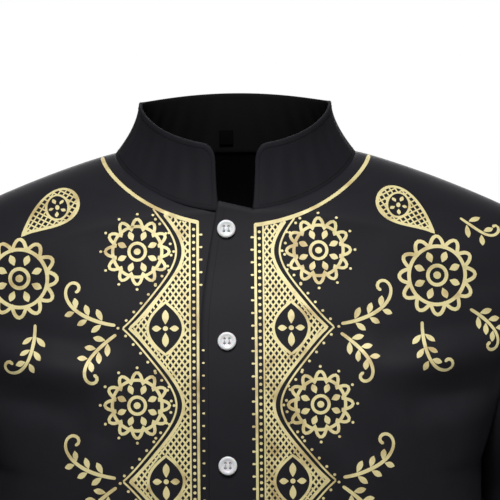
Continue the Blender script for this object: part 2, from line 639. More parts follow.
def ring(radius, width, scallops=0, depth=0.0):
    """A ring, whose radius dips between scallops: by the depth, times one less the cosine of half a scallop."""
    turn = np.linspace(0, 2 * np.pi, RING_POINTS, endpoint=False)
    r = radius * (1 - depth * (1 - np.abs(np.cos(scallops * turn / 2))))
    return line(np.stack([r * np.cos(turn), r * np.sin(turn)], -1), width, True)


def petals(count, start, end, width, first=0.0):
    """Petals that point away from the middle, each one line that is widest past its middle."""
    motif = []
    for turn in np.radians(first + np.arange(count) * 360 / count):
        along = np.array([np.cos(turn), np.sin(turn)])
        motif.append(line([start * along, end * along], PETAL_WIDTHS * width))
    return motif


def net(inside, low, high, pitch, lean, width):
    """Two families of even, slanting lines, each kept where it runs inside a shape."""
    low, high = np.array(low, float), np.array(high, float)
    middle, far = (low + high) / 2, np.linalg.norm(high - low) / 2
    motif = []
    for way, lift in ((1, 0.0), (-1, NET_LIFT)):
        along = np.array([np.cos(lean), way * np.sin(lean)])
        square = np.array([-way * np.sin(lean), np.cos(lean)])
        apart, run = np.arange(-far, far, pitch), np.arange(-far, far, 0.8)
        spots = middle + apart[:, None, None] * square + run[None, :, None] * along
        kept = np.pad(inside(spots[..., 0], spots[..., 1]), ((0, 0), (1, 1)))
        change = np.diff(kept.astype(int), axis=1)
        for row, edge in zip(spots, change):
            for start, end in zip(np.flatnonzero(edge == 1), np.flatnonzero(edge == -1)):
                if end - start > 2:
                    motif.append(line(row[start:end], width, lift=lift))
    return motif


def within(outline):
    """A test whether points lie inside a closed outline: a ray from each crosses it an odd number of times."""
    from_x, from_z = outline[:, 0], outline[:, 1]
    to_x, to_z = np.roll(from_x, -1), np.roll(from_z, -1)

    def inside(x, z):
        odd = np.zeros(np.shape(x), bool)
        for ax, az, bx, bz in zip(from_x, from_z, to_x, to_z):
            if az != bz:
                odd ^= ((az > z) != (bz > z)) & (x < ax + (z - az) / (bz - az) * (bx - ax))
        return odd

    return inside


def spray(length, start, bend, roll, leaves):
    """A stem that ends in a curl, with pairs of small leaves along its first part. Its heading starts at one angle,
    bends evenly and then rolls up with the fifth power of the way along it."""
    t = np.linspace(0, 1, STEM_POINTS)
    heading = np.radians(start + bend * t + roll * t**5)
    stem = np.stack([np.cumsum(np.cos(heading)), np.cumsum(np.sin(heading))], -1) * length / (STEM_POINTS - 1)
    stem = stem - stem[0]
    motif = [line(stem, STEM_WIDTHS)]
    for share in np.linspace(0.14, 0.46, leaves):
        for way in (1, -1):
            leaf = petals(1, 1.8, 10.6 - 4 * share, 4.0, start + bend * share + way * LEAF_SPREAD)
            motif += placed(leaf, stem[int(share * (STEM_POINTS - 1))])
    return motif


def paisley(half_length):
    """A drop with its tip bent over, filled with net around a ringed flower."""
    turn = np.linspace(0, 2 * np.pi, 120, endpoint=False)
    across, up = 0.64 * np.sin(turn) * np.sin(turn / 2) ** 1.3, np.cos(turn)
    rise = (up + 1) / 2
    outline = np.stack([across + 0.52 * rise**2.4, up - 0.16 * rise**3], -1) * half_length
    heart = np.array([0.03, -0.36]) * half_length
    hollow = 0.34 * half_length
    motif = [line(outline, 2.4, True)]
    motif += placed([ring(hollow, 1.8), dot(0, 0, 1.5)] + petals(5, 2.6, hollow - 1.6, 2.8, 90), heart)
    in_outline = within(outline)
    in_net = lambda x, z: in_outline(x, z) & (np.hypot(x - heart[0], z - heart[1]) > hollow)
    motif += net(in_net, outline.min(0), outline.max(0), NET_PITCH, 0.9, 1.2)
    return motif


NECK_LINE_REACH, NECK_LINE_LOW, NECK_LINE_HIGH, NECK_LINE_BACK = 92.0, -41.5, 2.9, -7.5
NECK_LINE_WIDE = 2.7
LOBE_FIRST, LOBE_PERIOD, LOBE_COUNT = -108.0, 100.0, 6
BAND_VALLEY, BAND_TIP = 30.0, 66.0
BAND_BOTTOM, BAND_TOP = -700.0, -20.0
WINDOW_OUT, WINDOW_WIDE, WINDOW_HIGH = 42.0, 12.0, 17.0
LINE, THIN_LINE = 2.2, 1.3
KNOB_PITCH, KNOB_LONG, KNOB_WIDTHS = 8.2, 2.3, np.array([1.1, 1.3, 2.0])
BEAD, BEAD_FIRST, BEAD_PITCH, BEADS_OUT = 0.95, 6.0, 7.5, 8.0
SECOND_LINE_OUT = 4.8


def neck_line(across):
    """Height of the line round the neck: like the neck seam's, from the side to the front by a power of a cosine."""
    share = np.sqrt(np.maximum(1 - (across / NECK_LINE_REACH) ** 2, 0))
    return mix(NECK_LINE_HIGH, NECK_LINE_LOW, share**1.5)


def band_reach(z):
    """How far out the band's edge lies: pointed arches, even in height, with rounded hollows between them."""
    from_tip = np.abs((z - LOBE_FIRST + LOBE_PERIOD / 2) % LOBE_PERIOD - LOBE_PERIOD / 2) / (LOBE_PERIOD / 2)
    s = 1 - from_tip
    return mix(BAND_VALLEY, BAND_TIP, 0.72 * s * s * (3 - 2 * s) + 0.28 * s**6)


def front_print(side, inner):
    """One front's print, as lines in x and z. Inner is where the band starts, out from the line of buttons."""
    to_x = lambda out: PRINT_AXIS_X + side * out
    under_neck = lambda out, z: z < neck_line(np.abs(to_x(out))) - 1.2
    lobes = LOBE_FIRST - LOBE_PERIOD * np.arange(LOBE_COUNT)
    motif = []

    def in_band(out, z):
        from_lobe = (z - LOBE_FIRST + LOBE_PERIOD / 2) % LOBE_PERIOD - LOBE_PERIOD / 2
        window = np.abs(out - WINDOW_OUT) < (WINDOW_WIDE + 0.6) * (1 - (from_lobe / (WINDOW_HIGH + 0.8)) ** 2)
        window &= z > lobes[-1] - LOBE_PERIOD / 2
        held = (out > inner + 6.6) & (out < band_reach(z) - 0.8) & (z > BAND_BOTTOM)
        return held & ~window & under_neck(out, z)

    motif += net(in_band, (inner, BAND_BOTTOM), (BAND_TIP, BAND_TOP), NET_PITCH, 0.92, 1.25)
    for out, width in ((inner + 0.9, 1.8), (inner + 6.2, 1.2)):
        motif.append(line([(out, BAND_BOTTOM), (out, neck_line(np.abs(to_x(out))))], width))
    z = np.arange(BAND_BOTTOM, BAND_TOP, 0.5)
    for out, width in ((band_reach(z), LINE), (band_reach(z) + SECOND_LINE_OUT, THIN_LINE)):
        motif.append(line(np.stack([out, z], -1)[under_neck(out, z)], width))
    motif.append(line([(inner, BAND_BOTTOM), (band_reach(BAND_BOTTOM) + SECOND_LINE_OUT, BAND_BOTTOM)], LINE))
    top = neck_line(np.abs(to_x(inner))) - 2
    motif += [dot(inner + 3.6, height, 1.05) for height in np.arange(top - 2.5, BAND_BOTTOM + 2, -4.3)]
    knobs = [(inner, top - 6, BAND_BOTTOM)] + ([(-18.2, -122, BAND_BOTTOM)] if side > 0 else [])
    for out, high, low in knobs:
        way = 1 if out > 0 else -1
        for height in np.arange(high, low if side > 0 else -84, -KNOB_PITCH):
            motif.append(line([(out + 0.4, height), (out - way * KNOB_LONG, height)], KNOB_WIDTHS))
    edge = np.stack([band_reach(z) + BEADS_OUT, z], -1)
    run = way_along(edge)
    for out, height in read_path(edge, run, np.arange(BEAD_FIRST, run[-1], BEAD_PITCH)):
        if under_neck(out, height + 3) and height > BAND_BOTTOM + 6:
            motif.append(dot(out, height, BEAD))

    drop = WINDOW_HIGH * np.sin(np.linspace(-np.pi / 2, np.pi / 2, 40))
    wide = WINDOW_WIDE * (1 - (drop / WINDOW_HIGH) ** 2)
    lens = np.concatenate([np.stack([wide, drop], -1), np.stack([-wide, drop], -1)[-2:0:-1]])
    window = [line(lens, 1.9, True), dot(0, 0, 1.7)]
    window += petals(2, 2.8, 12.0, 4.6, 90) + petals(2, 2.8, 9.0, 4.2, 0)
    flower = [dot(0, 0, 2.3), ring(5.6, LINE)] + petals(8, 7.8, 14.2, 4.2, 22.5)
    flower += [ring(16.6, LINE), ring(21.6, LINE, 12, 0.34)]
    flower += [dot(24.6 * np.cos(a), 24.6 * np.sin(a), BEAD) for a in np.radians(np.arange(0, 360, 30))]
    for lobe in lobes:
        motif += placed(window, (WINDOW_OUT, lobe))
        motif += placed(flower, (BAND_VALLEY + 31.0, lobe + LOBE_PERIOD / 2))
        motif += placed(spray(62, 6, 52, 300, 3), (BAND_TIP + 9.5, lobe + 2))
        motif += placed(spray(52, -34, -30, -300, 3), (BAND_TIP + 9.0, lobe - 4))
    sun = [dot(0, 0, 2.6), ring(6.4, 2.6)] + petals(8, 9.2, 16.6, 4.8, 22.5)
    sun += [ring(19.2, 2.6), ring(26.0, 2.6, 12, 0.28)]
    motif += placed(sun, (141, -76))
    motif += placed(paisley(23), (124, -31), -106)
    motif += placed(spray(38, -34, -4, 290, 2), (158, -39))
    motif += placed(spray(54, -92, 50, 300, 3), (130, -106))
    motif += placed(spray(46, -30, -40, -300, 3), (163, -99))
    return [line(np.stack([to_x(path[:, 0]), path[:, 1]], -1), *rest) for path, *rest in motif]


# Topstitching in black thread, along the lap's edge and the hem
STITCH, STITCH_PITCH, STITCH_WIDE = 2.1, 2.8, 0.45
STITCH_FACES = 0.01, 0.22  # height of a stitch's two faces over the cloth
LAP_STITCH_IN, HEM_STITCH_UP = 5.0, 7.0


def stitches(path):
    """Short strokes at even steps along a line."""
    run = way_along(path)
    start = np.arange(0, run[-1] - STITCH, STITCH_PITCH)
    ends = [read_path(path, run, at) for at in (start, start + STITCH)]
    return [line(pair, STITCH_WIDE) for pair in np.stack(ends, 1)]


def sewn(name, strokes, surface, facing):
    """Stitches laid on a surface, in black thread."""
    seam = lay(name, strokes, surface, facing, *STITCH_FACES)
    seam.data.materials.append(BLACK_THREAD)
    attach(seam, "root")
    return seam


def neck_arc(side, is_front, first):
    """The line round the neck on one side, from an angle at the front or back middle out to the shoulder seam."""
    angle = np.linspace(first, np.pi / 2, 60)
    across = NECK_LINE_REACH * np.sin(angle)
    low = neck_line(across) if is_front else mix(NECK_LINE_HIGH, NECK_LINE_BACK, np.cos(angle))
    return line(np.stack([side * across, low], -1), NECK_LINE_WIDE)


def foil():
    """Gold foil: a pale metal whose colour slow noise darkens in places, with a fine crinkle."""
    material, nodes, links, shader = new_material("gold foil")
    place = nodes.new("ShaderNodeTexCoord")
    patch = nodes.new("ShaderNodeTexNoise")
    patch.inputs["Scale"].default_value = 60
    patch.inputs["Detail"].default_value = 6
    links.new(place.outputs["Object"], patch.inputs["Vector"])
    tone = nodes.new("ShaderNodeValToRGB")
    tone.color_ramp.elements[0].position = 0.32
    tone.color_ramp.elements[0].color = (0.66, 0.50, 0.22, 1)
    tone.color_ramp.elements[1].position = 0.52
    tone.color_ramp.elements[1].color = (0.98, 0.86, 0.44, 1)
    links.new(patch.outputs["Fac"], tone.inputs["Fac"])
    links.new(tone.outputs["Color"], shader.inputs["Base Color"])
    crinkle = nodes.new("ShaderNodeTexNoise")
    crinkle.inputs["Scale"].default_value = 1400
    bump = nodes.new("ShaderNodeBump")
    bump.inputs["Strength"].default_value = 0.25
    bump.inputs["Distance"].default_value = 0.0001
    links.new(place.outputs["Object"], crinkle.inputs["Vector"])
    links.new(crinkle.outputs["Fac"], bump.inputs["Height"])
    links.new(bump.outputs["Normal"], shader.inputs["Normal"])
    shader.inputs["Metallic"].default_value = 0.1
    shader.inputs["Roughness"].default_value = 0.5
    return material


BLACK_THREAD = plain("black thread", (0.008, 0.008, 0.009), 0.6, 0.2)
FOIL = foil()
fronts = ((1, "left", front_left, left_points, 17.6), (-1, "right", front_right, right_points, 19.4))
for side, word, front, points, inner in fronts:
    points[ROW_LABELS > 2, : len(STAND_STEPS)] = np.nan
    front_map = cloth_map(points)
    strokes = front_print(side, inner)
    strokes.append(neck_arc(side, True, np.arcsin((side * PRINT_AXIS_X + inner) / NECK_LINE_REACH)))
    front_foil = lay(f"front_{word}_print", strokes, lambda spots: on_map(front_map, spots), 1)
    front_foil.data.materials.append(FOIL)
    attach(front_foil, "root")
    hem = points[0][np.argsort(points[0][:, 0])][2:-2, [0, 2]] / MM + (0, HEM_STITCH_UP)
    rows = stitches(hem)
    if side > 0:
        lap = points[ROW_LABELS <= 2, 0][2:-1, [0, 2]] / MM + (LAP_STITCH_IN, 0)
        rows += stitches(lap)
    front_seams = sewn(f"front_{word}_topstitching", rows, lambda spots: on_map(front_map, spots), 1)

# Back
# One wide panel of the same shirting, with no yoke. It is sewn to the fronts at the sides and shoulders and hangs
# from the shoulder blades, with soft folds towards the armpits and the hem.
BACK_FOLDS = np.array(
    [
        (1, 0.062, -0.128, 0.172, -0.172, 0.017, 0.0042),
        (1, 0.036, -0.290, 0.064, -0.920, 0.028, 0.0060),
        (1, 0.094, -0.240, 0.118, -0.920, 0.024, -0.0065),
        (-1, 0.070, -0.120, 0.174, -0.158, 0.017, 0.0040),
        (-1, 0.026, -0.320, 0.052, -0.920, 0.028, 0.0055),
        (-1, 0.088, -0.220, 0.110, -0.920, 0.024, -0.0065),
    ],
    dtype=FOLD,
)
BACK_CREASES = np.array(
    [
        (1, 0.050, -0.160, 0.160, -0.215, 0.011, -0.0022),
        (1, 0.060, -0.196, 0.150, -0.262, 0.010, 0.0018),
        (1, 0.020, -0.392, 0.140, -0.430, 0.014, 0.0022),
        (1, 0.030, -0.438, 0.136, -0.462, 0.012, -0.0020),
        (-1, 0.056, -0.156, 0.164, -0.204, 0.011, -0.0022),
        (-1, 0.066, -0.190, 0.152, -0.252, 0.010, 0.0016),
        (-1, 0.018, -0.402, 0.138, -0.424, 0.014, 0.0022),
        (-1, 0.026, -0.448, 0.132, -0.476, 0.012, -0.0018),
    ],
    dtype=FOLD,
)
BACK_SHARES = np.linspace(0, 1, 70)

left_half = body_half(ROW_LABELS, BACK_SHARES, False, 1)
right_half = body_half(ROW_LABELS, BACK_SHARES, False, -1) * (-1, 1, 1)
# Above the bottom of the neck each half ends at the neck seam, and no faces join the two
beside_neck = ROW_LABELS > 2 + 1e-9
right_half[beside_neck, 1] = right_half[beside_neck, 0]
back_points = np.concatenate([right_half[:, :0:-1], left_half], 1)
back_present = np.ones((len(ROW_LABELS) - 1, back_points.shape[1] - 1), bool)
back_present[beside_neck[:-1], len(BACK_SHARES) - 2] = False
back = shell("back_cloth", back_points, WALL, BODY_CLOTHS, back_present, flip=True)
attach(back, "root")
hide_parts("back")
back_map = cloth_map(back_points)
back_strokes = [neck_arc(1, False, 0), neck_arc(-1, False, 0)]
back_foil = lay("back_print", back_strokes, lambda spots: on_map(back_map, spots), -1)
back_foil.data.materials.append(FOIL)
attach(back_foil, "root")

# Sleeves
# Long set-in sleeves of the same shirting, each one panel sewn into a tube. The cap is eased into the armhole and
# the rest hangs with a slight bend at the elbow, where the cloth breaks into folds.
CAP_FULLNESS = 1.08
CAP_SWAY = 0.15
RIGHT_FOLDS_LOWER = 0.006
CAP_ROWS = 25
LEAVE_SHOULDER, LEAVE_ARMPIT = (0.95, 0.35), (0.06, 0.95)  # outwards and down
ARM = np.array(
    [
        (0.2284, 0.014, -0.235, 0.0595, 0.065),
        (0.237, 0.004, -0.300, 0.055, 0.060),
        (0.246, 0.005, -0.372, 0.052, 0.055),
        (0.253, 0.000, -0.445, 0.050, 0.051),
        (0.260, -0.009, -0.520, 0.046, 0.047),
        (0.265, -0.018, -0.578, 0.043, 0.043),
        (0.266, -0.020, -0.592, 0.0394, 0.0394),
    ],
    dtype=[("x", float), ("y", float), ("z", float), ("across", float), ("deep", float)],
)
# Angle round the ring (0 outside, 90 front), height, reach in degrees and in metres, slope and depth
SLEEVE_FOLDS = [
    (128, -0.262, 50, 0.013, 0.0004, -0.0040),
    (95, -0.326, 64, 0.013, -0.00028, -0.0046),
    (105, -0.366, 70, 0.013, 0.00024, -0.0052),
    (85, -0.408, 60, 0.013, -0.0002, -0.0046),
    (255, -0.300, 50, 0.014, 0.0004, -0.0036),
    (250, -0.465, 54, 0.014, -0.00032, -0.0036),
    (60, -0.500, 64, 0.013, 0.00028, -0.0038),
    (70, -0.290, 46, 0.008, 0.0004, -0.0016),
    (110, -0.346, 44, 0.007, -0.0003, -0.0018),
    (120, -0.388, 48, 0.007, 0.0003, -0.0018),
    (100, -0.430, 40, 0.008, -0.0002, -0.0016),
    (230, -0.350, 46, 0.009, -0.0004, -0.0018),
    (265, -0.400, 50, 0.009, 0.0003, -0.0020),
    (20, -0.530, 60, 0.008, -0.0003, -0.0016),
    (150, -0.545, 60, 0.007, 0.0003, -0.0018),
    (300, -0.520, 50, 0.008, 0.0004, -0.0016),
]


def arm_direction(z):
    """The direction in which the arm runs down at a height, from two places 16 mm apart."""
    step = 0.008
    dx = through(ARM, "x", z - step) - through(ARM, "x", z + step)
    dy = through(ARM, "y", z - step) - through(ARM, "y", z + step)
    return unit(np.stack([dx, dy, np.full_like(dx, -2 * step)], -1))


def arm_frame(z):
    """Two directions square to the arm: towards the front, and away from the body."""
    along = arm_direction(z)
    front = unit(np.array([0.0, -1.0, 0.0]) + along * along[..., 1:2])
    return along, front, unit(np.cross(front, along))


def arm_point(z, angle, side):
    """The sleeve below its cap: ellipses square to the arm, their radius pressed in by folds that are bell curves
    down the arm and half cosine waves round it. The right sleeve's folds lie a little lower."""
    lower = RIGHT_FOLDS_LOWER if side < 0 else 0
    _, front, outside = arm_frame(z)
    pressed = np.zeros(np.broadcast(z, angle).shape)
    degrees = np.degrees(angle)
    for at, height, reach_round, reach_down, slope, depth in SLEEVE_FOLDS:
        turn = (degrees - at + 540) % 360 - 180
        off = (z + lower - height - slope * turn) / reach_down
        near = np.cos(np.clip(turn / reach_round, -1, 1) * np.pi / 2)
        pressed += depth * np.exp(-off * off) * near
    middle = np.stack([through(ARM, "x", z), through(ARM, "y", z), z], -1)
    across = ((through(ARM, "across", z) + pressed) * np.cos(angle))[..., None]
    deep = ((through(ARM, "deep", z) + pressed) * np.sin(angle))[..., None]
    return middle + outside * across + front * deep


def cap_point(share, angle, side):
    """The sleeve's cap: at each angle a cubic that leaves the armhole outwards and meets the first ring running
    down the arm, both with the length of the line between their ends."""
    start = armhole_point(angle)
    end = arm_point(np.full_like(angle, ARM["z"][0]), angle, side)
    chord = np.linalg.norm(start - end, axis=-1, keepdims=True) * CAP_FULLNESS
    top = (1 + np.cos(angle)) / 2
    leave = unit(np.stack([
        mix(LEAVE_ARMPIT[0], LEAVE_SHOULDER[0], top),
        -CAP_SWAY * np.sin(angle),
        -mix(LEAVE_ARMPIT[1], LEAVE_SHOULDER[1], top),
    ], -1))
    arrive = arm_direction(np.full_like(angle, ARM["z"][0]))
    ends = start * (1 + 2 * share) * (1 - share) ** 2 + end * share**2 * (3 - 2 * share)
    return ends + chord * (leave * share * (1 - share) ** 2 + arrive * share**2 * (share - 1))


def sleeve_points(side):
    """One sleeve as rings of points: those of the cap, and one every 4 mm below it."""
    angle = np.linspace(0, 2 * np.pi, 97)[None, :]
    share = np.linspace(0, 1, CAP_ROWS)[:, None, None]
    cap = cap_point(share, np.repeat(angle, CAP_ROWS, 0), side)
    z = np.linspace(ARM["z"][0], ARM["z"][-1], 91)[1:, None]
    lower = arm_point(*np.broadcast_arrays(z, angle), side)
    points = np.concatenate([cap, lower])
    points[:, -1] = points[:, 0]
    return points * (side, 1, 1)


for side, word in ((1, "left"), (-1, "right")):
    sleeve = shell(f"sleeve_{word}_cloth", sleeve_points(side), WALL, BODY_CLOTHS, wrap=True, flip=side < 0)
    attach(sleeve, "root")
    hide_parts(f"sleeve_{word}")

# Collar
# A stand collar of two layers of shirting over a stiffener, sewn to the neck seam. It leans in towards its rim, is
# wider in front than behind, and its two ends stand apart at the throat with rounded upper corners.
COLLAR_WIDTH_FRONT, COLLAR_WIDTH_SIDE, COLLAR_WIDTH_BACK, COLLAR_WALL = 0.043, 0.0375, 0.040, 0.0022
STIFF_SEAM_GAP, SEAM_HALF = 0.00046, 0.00016
COLLAR_END, COLLAR_END_TOP, COLLAR_CORNER = 0.0124, 0.014, 0.010
RIM_HALF_WIDTH, RIM_FRONT, RIM_BACK = 0.0665, 0.057, 0.045
COLLAR_FLARE_POWER = 1.75
COLLAR_TUCK = 0.0006  # the seam draws the collar's lower edge down onto the body
COLLAR_STITCH_RADIUS, STITCH_IN = 72.0, 2.6  # millimetres
COLLAR_ROWS = 22
COLLAR_CLOTH = shirting("collar shirting", (0.0170, 0.0164, 0.0205), 0.60, 0.02)


def collar_point(angle, share):
    """The collar's outside at an angle from the front: from its seam to its rim the plan oval shrinks by a power
    of what is left of the width, and the height rises evenly."""
    is_front = angle <= np.pi / 2
    base = np.where(is_front[..., None], neck_point(angle, True), neck_point(np.pi - angle, False))
    end_low = np.arcsin(COLLAR_END / NECK_HALF_WIDTH)
    end_top = np.arcsin(COLLAR_END_TOP / RIM_HALF_WIDTH)
    rim_angle = mix(end_top, np.pi, (angle - end_low) / (np.pi - end_low))
    rim_x = RIM_HALF_WIDTH * np.sin(rim_angle)
    rim_y = -np.cos(rim_angle) * np.where(np.cos(rim_angle) > 0, RIM_FRONT, RIM_BACK)
    middle = np.where(is_front, COLLAR_WIDTH_FRONT, COLLAR_WIDTH_BACK)
    width = mix(middle, COLLAR_WIDTH_SIDE, np.sin(angle) ** 2)
    rise = np.sqrt(width**2 - (rim_x - base[..., 0]) ** 2 - (rim_y - base[..., 1]) ** 2)
    flare = (1 - share) ** COLLAR_FLARE_POWER
    tucked = COLLAR_TUCK * (1 - share) ** 6
    return np.stack([
        mix(rim_x, base[..., 0], flare),
        mix(rim_y, base[..., 1], flare),
        base[..., 2] + STIFF_SEAM_GAP - SEAM_HALF - tucked + rise * share,
    ], -1), width


def collar_face(angle, share, side):
    """The collar's outside on one side, with the faint waves of a stiffened band, and its outward directions."""
    points, _ = collar_point(angle, share)
    lean = np.stack([np.sin(angle), -np.cos(angle), 0 * angle], -1)
    wave = np.sin(angle * 23 + side * 1.3) * np.sin(angle * 9 + 0.7) * (1 - share) * share * 4
    points = points + lean * (0.00045 * wave)[..., None]
    points[..., 0] *= side
    lean[..., 0] *= side
    return points, lean


def collar_points():
    """Both halves of the collar, joined at the middle of the back. Columns crowd at the ends, where the share of
    the width that is left follows a quarter circle."""
    first = np.arcsin(COLLAR_END / NECK_HALF_WIDTH)
    angle = mix(first, np.pi, np.linspace(0, 1, 130) ** 1.3)[None, :]
    _, width = collar_point(angle, np.zeros((1, 1)))
    inset = NECK_HALF_WIDTH * (np.sin(np.minimum(angle, np.pi / 2)) - np.sin(first))
    short = np.maximum(COLLAR_CORNER - inset, 0)
    tall = 1 - (COLLAR_CORNER - np.sqrt(COLLAR_CORNER**2 - short**2)) / width
    share = np.linspace(0, 1, COLLAR_ROWS)[:, None] * tall
    angle = np.repeat(angle, COLLAR_ROWS, 0)
    left, left_lean = collar_face(angle, share, 1)
    right, right_lean = collar_face(angle, share, -1)
    points = np.concatenate([right[:, :-1], left[:, ::-1]], 1)
    return points, -np.concatenate([right_lean[:, :-1], left_lean[:, ::-1]], 1)


def collar_run(spots):
    """A place on the collar in millimetres: round it from the middle of the back, and up from its seam."""
    angle = np.pi - np.abs(spots[..., 0]) / COLLAR_STITCH_RADIUS
    _, width = collar_point(angle, 0 * angle)
    side = np.where(spots[..., 0] < 0, -1, 1)
    return collar_face(angle, spots[..., 1] * MM / width, side)[0] / MM


def collar_stitches(side):
    """Stitches inside one half of the collar's edge: along the seam, up the front, round the corner and back."""
    end = (np.pi - np.arcsin(COLLAR_END / NECK_HALF_WIDTH)) * COLLAR_STITCH_RADIUS - STITCH_IN
    high, bend = COLLAR_WIDTH_FRONT / MM - STITCH_IN, COLLAR_CORNER / MM - STITCH_IN
    turn = np.linspace(0, np.pi / 2, 8)
    corner = np.stack([end - bend + bend * np.cos(turn), high - bend + bend * np.sin(turn)], -1)
    round_it = np.linspace(end - bend, 0, 60)
    _, width = collar_point(np.pi - round_it / COLLAR_STITCH_RADIUS, 0 * round_it)
    rim = np.stack([round_it, width / MM - STITCH_IN], -1)
    path = np.concatenate([[(0, STITCH_IN), (end, STITCH_IN)], corner, rim[1:]])
    return stitches(path * (side, 1))


collar_outer, collar_inward = collar_points()
COLLAR_CLOTHS = (COLLAR_CLOTH, WRONG_SIDE)
collar = shell("collar_cloth", collar_outer, COLLAR_WALL, COLLAR_CLOTHS, flip=True, inward=collar_inward, rounds=3)
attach(collar, "root")
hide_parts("collar")
collar_seams = sewn("collar_topstitching", collar_stitches(1) + collar_stitches(-1), collar_run, -1)

# Cuffs
# A plain stiffened cuff on each sleeve, its ends lapped at the back of the wrist and closed with one button.
CUFF_HEIGHT, CUFF_RADIUS, CUFF_WALL = 0.060, 0.038, 0.0016
CUFF_LAP, CUFF_BUTTON_ANGLE = np.radians(24), np.radians(292)


def cuff_points(side):
    """A cuff as a band round the wrist: a circle square to the arm that steps out by its own wall where its ends
    lap, carried down the arm."""
    turn = np.linspace(0, 2 * np.pi + CUFF_LAP, 100)[None, :]
    down = np.linspace(0, CUFF_HEIGHT, 16)[:, None]
    last = np.array([ARM["z"][-1]])
    along, front, outside = arm_frame(last)
    lift = (CUFF_WALL + STIFF_SEAM_GAP) * ease((np.degrees(turn) - 300) / 55)
    angle = CUFF_BUTTON_ANGLE - CUFF_LAP / 2 + turn
    radius = (CUFF_RADIUS + lift)[..., None]
    middle = np.array([ARM["x"][-1], ARM["y"][-1], ARM["z"][-1]]) + along * (STIFF_SEAM_GAP + down)[..., None]
    points = middle + radius * (outside * np.cos(angle)[..., None] + front * np.sin(angle)[..., None])
    return points * (side, 1, 1)


for side, word in ((1, "left"), (-1, "right")):
    cuff = shell(f"cuff_{word}_cloth", cuff_points(side), CUFF_WALL, BODY_CLOTHS, flip=side < 0, rounds=3)
    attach(cuff, "root")
    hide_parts(f"cuff_{word}")

# Buttons
# White resin shirt buttons with a raised rim and four holes, one row down the wearer's left front and one on each
# cuff, each sewn on with two bars of white thread.
HOLE_SIDES = 14
HOLE_RADIUS, HOLE_SPREAD = 0.8, 1.6
FACE_PROFILE = np.array(
    [(0.0, 1.52), (2.6, 1.56), (3.4, 1.62), (3.9, 1.86), (4.4, 2.14),
     (4.9, 2.2), (5.5, 2.14), (5.95, 1.86), (6.2, 1.35)],
    dtype=[("radius", float), ("height", float)],
)
BACK_PROFILE = np.array([(0.0, 0.0), (5.2, 0.04), (5.9, 0.3), (6.2, 0.75)], dtype=FACE_PROFILE.dtype)
THREAD_RADIUS = 0.26


def turned_round(count, radius, centre=(0.0, 0.0)):
    """Even points round a circle."""
    turn = np.linspace(0, 2 * np.pi, count, endpoint=False)
    return centre + radius * np.stack([np.cos(turn), np.sin(turn)], -1)


def button_body():
    """A button's corners and triangles in millimetres, lying on its back: a plate of triangles round four holes,
    once at the face's heights and once at the back's, and strips between the two along each edge."""
    centres = HOLE_SPREAD * np.array([(1, 1), (-1, 1), (-1, -1), (1, -1)])
    holes = [turned_round(HOLE_SIDES, HOLE_RADIUS, centre) for centre in centres]
    rings = [turned_round(48, radius) for radius in FACE_PROFILE["radius"][:0:-1]]
    lips = [turned_round(HOLE_SIDES, HOLE_RADIUS + 0.22, centre) for centre in centres]
    flat = np.concatenate(holes + rings + lips + [turned_round(8, 0.45), turned_round(20, 3.0)])
    firsts = range(0, 4 * HOLE_SIDES, HOLE_SIDES)
    edges = [(first + k, first + (k + 1) % HOLE_SIDES) for first in firsts for k in range(HOLE_SIDES)]
    spots, _, triangles, *_ = delaunay_2d_cdt([Vector(spot) for spot in flat], edges, [], 0, 1e-6)
    spots, triangles = np.array(spots), np.array(triangles)
    middle = spots[triangles].mean(1)
    in_hole = (np.linalg.norm(middle[:, None] - centres, axis=-1) < HOLE_RADIUS * 0.99).any(1)
    triangles = triangles[~in_hole]
    radius = np.linalg.norm(spots, axis=-1)
    from_hole = np.linalg.norm(spots[:, None] - centres, axis=-1).min(1)
    worn = 0.14 * (from_hole < HOLE_RADIUS + 0.05)
    face = np.interp(radius, FACE_PROFILE["radius"], FACE_PROFILE["height"]) - worn
    reverse = np.interp(radius, BACK_PROFILE["radius"], BACK_PROFILE["height"]) + worn
    size = len(spots)
    points = np.concatenate([np.column_stack([spots, face]), np.column_stack([spots, reverse])])
    pairs = np.concatenate([triangles[:, [0, 1]], triangles[:, [1, 2]], triangles[:, [2, 0]]])
    code, back_code = pairs[:, 0] * size + pairs[:, 1], pairs[:, 1] * size + pairs[:, 0]
    start, end = pairs[~np.isin(code, back_code)].T
    strips = [np.stack([start, start + size, end + size], -1), np.stack([start, end + size, end], -1)]
    return points, np.concatenate([triangles, triangles[:, ::-1] + size] + strips)


def tube(path, radius, sides=6):
    """A closed round thread along a path: at each point a ring square to it, and a flat end of two faces."""
    along = unit(np.gradient(path, axis=0))
    aside = unit(np.cross(along, (1.0, 0.2, 0.1)))
    other = np.cross(along, aside)
    turn = np.linspace(0, 2 * np.pi, sides, endpoint=False)[None, :, None]
    points = path[:, None] + radius * (np.cos(turn) * aside[:, None] + np.sin(turn) * other[:, None])
    spot = np.arange(len(path) * sides).reshape(len(path), sides)
    beside = np.roll(spot, -1, axis=1)
    faces = np.stack([spot[:-1], beside[:-1], beside[1:], spot[1:]], -1).reshape(-1, 4)
    ends = [spot[0][[3, 2, 1, 0]], spot[0][[5, 4, 3, 0]], spot[-1][[0, 1, 2, 3]], spot[-1][[0, 3, 4, 5]]]
    return points.reshape(-1, 3), np.concatenate([faces, ends])


